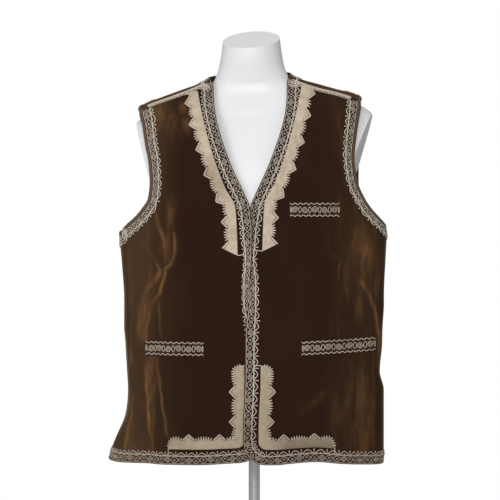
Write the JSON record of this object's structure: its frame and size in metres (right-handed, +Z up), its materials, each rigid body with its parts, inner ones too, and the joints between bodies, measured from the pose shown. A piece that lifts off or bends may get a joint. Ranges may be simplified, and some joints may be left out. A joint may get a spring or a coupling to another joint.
{
  "type": "embroidered waistcoat on a dress form stand",
  "caption": "Sleeveless velvet waistcoat with corded borders and scalloped leather trim, V neck and welt pockets, worn by a limbless glossy dress form on a round-footed pole stand.",
  "frame": {"origin": "centre of the stand's round foot, on the surface that it stands on", "axes": "+Z up along the pole, -Y is the way the front of the waistcoat faces, +X is the wearer's left"},
  "size_m": [0.5202, 0.3, 1.0741],
  "materials": {
    "velvet": "brown cotton velvet with a crushed pile",
    "leather": "cream napped leather",
    "form": "glossy white",
    "chrome": "polished"
  },
  "bodies": {
    "root": {"front_left": "velvet", "front_right": "velvet", "back": "velvet", "armhole_binding_left": "velvet", "armhole_binding_right": "velvet", "pocket_welt_chest": "velvet", "pocket_welt_left": "velvet", "pocket_welt_right": "velvet", "neck_applique_left": "leather", "neck_applique_right": "leather", "hem_applique_left": "leather", "hem_applique_right": "leather", "form_torso": "form", "stand_flange": "chrome", "stand_pole": "chrome", "stand_collar": "chrome", "stand_base": "chrome"}
  },
  "joints": []
}
